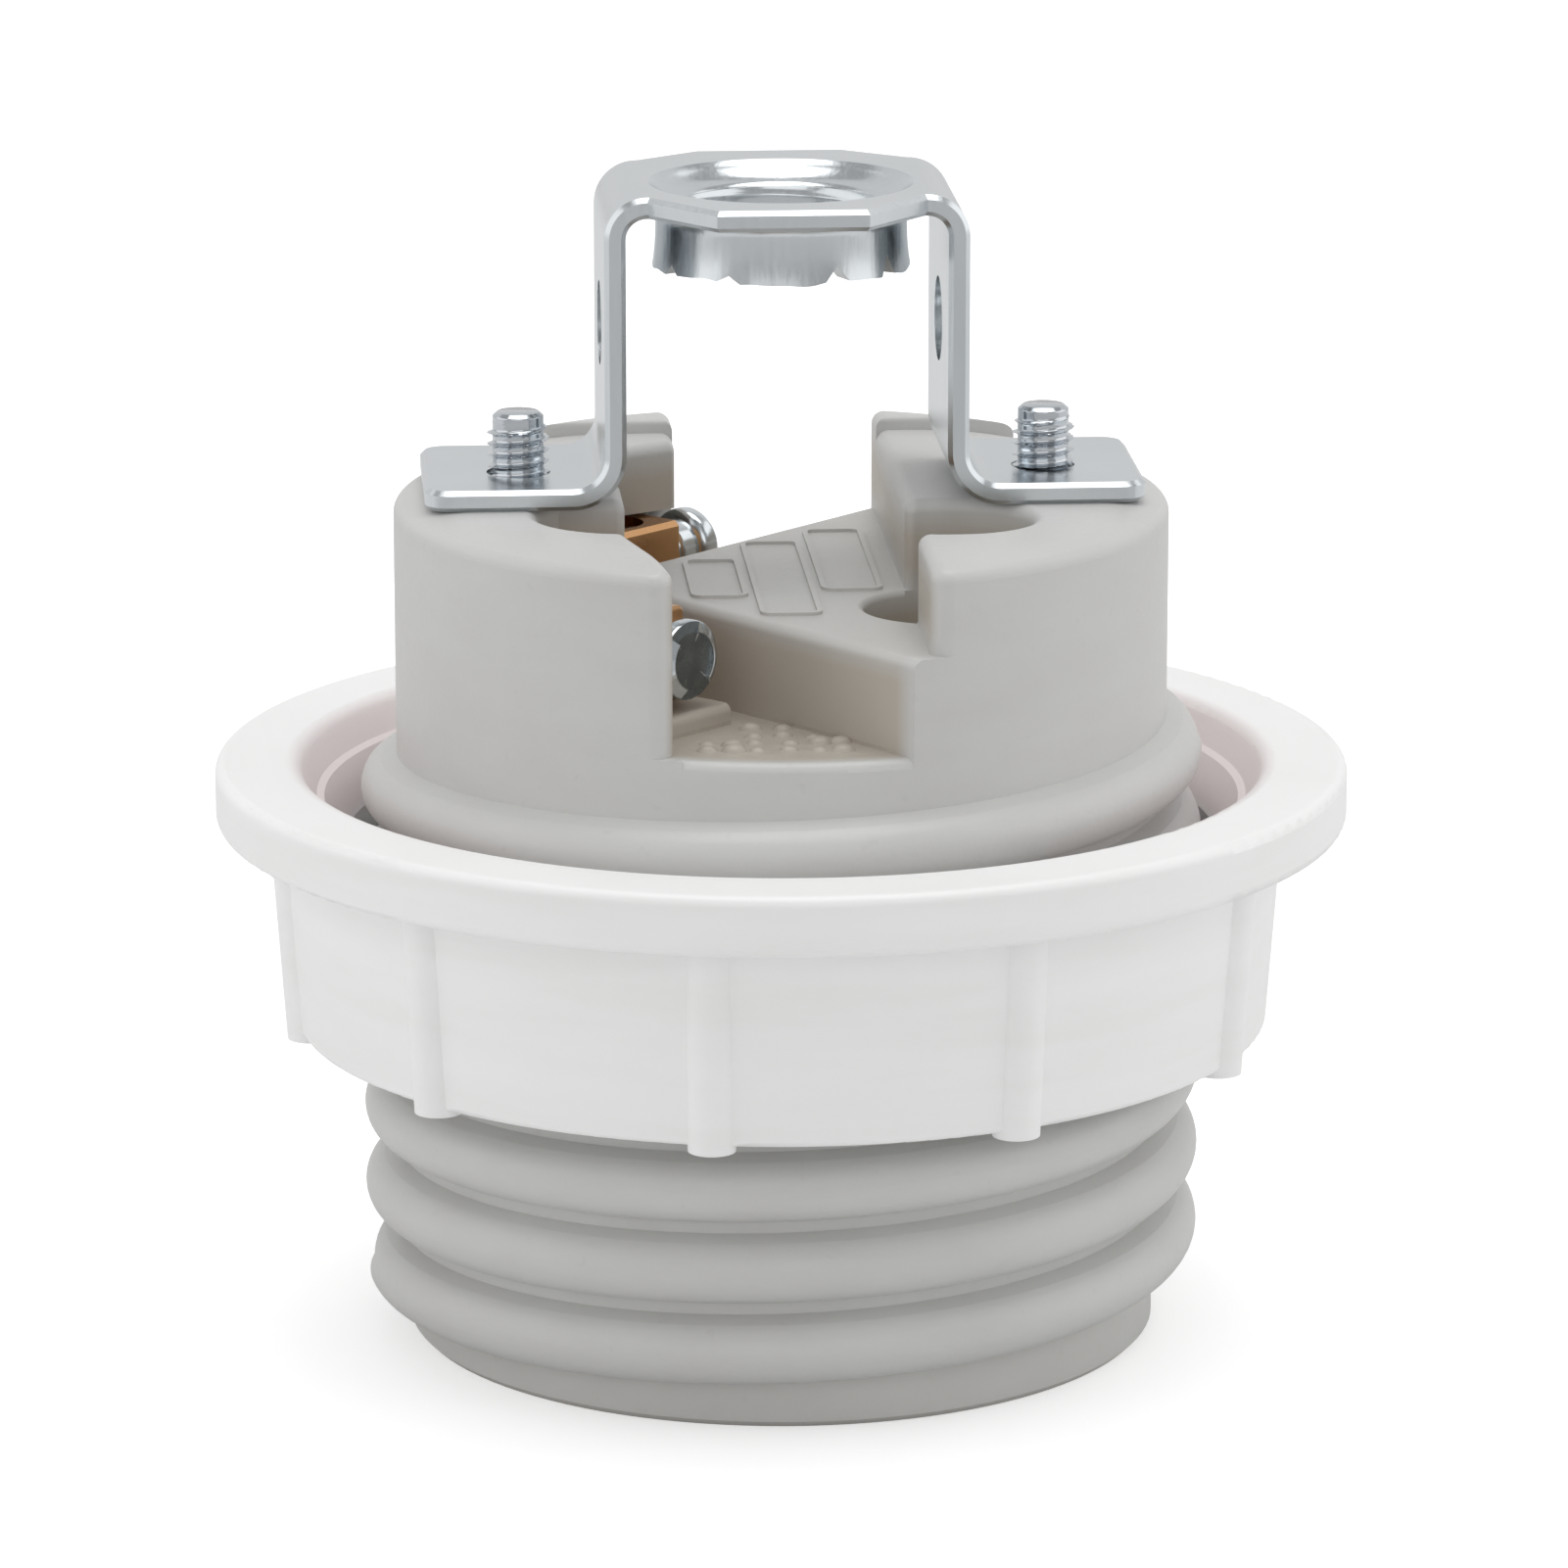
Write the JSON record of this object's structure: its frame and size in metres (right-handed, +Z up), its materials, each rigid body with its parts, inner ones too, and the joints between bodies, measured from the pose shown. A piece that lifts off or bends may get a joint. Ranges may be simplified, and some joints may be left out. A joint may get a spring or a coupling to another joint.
{
  "type": "lamp holder",
  "caption": "Screw-thread lamp holder with an outside-threaded moulded body, a shade ring, clamp terminals and a steel mounting bracket.",
  "frame": {"origin": "centre of the open lower rim, on the plane on which the holder stands with its cable entry up", "axes": "+Z up through the socket to the cable entry, +X along the bracket's feet, -Y towards the pictured front notch"},
  "size_m": [0.0538, 0.0538, 0.0553],
  "materials": {
    "body_moulding": "matte, lightly satin moulded thermoset",
    "ring_moulding": "smooth semi-gloss white",
    "bracket_steel": "bright zinc plate",
    "screw_steel": "polished steel",
    "terminal_brass": "plain machined brass",
    "shell_brass": "drawn brass",
    "spring_steel": "drawn spring wire"
  },
  "bodies": {
    "holder": {"body": "body_moulding", "bracket": "bracket_steel", "screw_shell": "shell_brass", "live_strip": "shell_brass", "neutral_strip": "shell_brass", "bracket_screw_left": "screw_steel", "bracket_screw_right": "screw_steel", "bracket_washer_left": "bracket_steel", "bracket_washer_right": "bracket_steel", "terminal_block_front": "terminal_brass", "terminal_block_rear": "terminal_brass", "block_screw_front": "screw_steel", "block_screw_rear": "screw_steel", "shell_screw_front": "screw_steel", "shell_screw_rear": "screw_steel"},
    "ring": {"shade_ring": "ring_moulding"},
    "clamp_front": {"terminal_screw_front": "screw_steel"},
    "clamp_rear": {"terminal_screw_rear": "screw_steel"},
    "contact": {"centre_contact": "shell_brass", "contact_spring": "spring_steel"}
  },
  "joints": [
    {"name": "ring_turn", "type": "hinge", "parent": "holder", "child": "ring", "pos_m": [0, 0, 0.02], "axis": [0, 0, 1], "range_deg": [-60, 0]},
    {"name": "clamp_front_slide", "type": "slide", "parent": "holder", "child": "clamp_front", "axis": [0.7071, -0.7071, 0], "range_m": [-0.0001, 0.0028]},
    {"name": "clamp_rear_slide", "type": "slide", "parent": "holder", "child": "clamp_rear", "axis": [0.7071, 0.7071, 0], "range_m": [-0.0021, 0.0008]},
    {"name": "contact_press", "type": "slide", "parent": "holder", "child": "contact", "axis": [0, 0, 1], "range_m": [0, 0.0015], "stiffness_N_per_m": 1500, "springref_m": -0.001, "deforming": ["contact_spring"]}
  ]
}
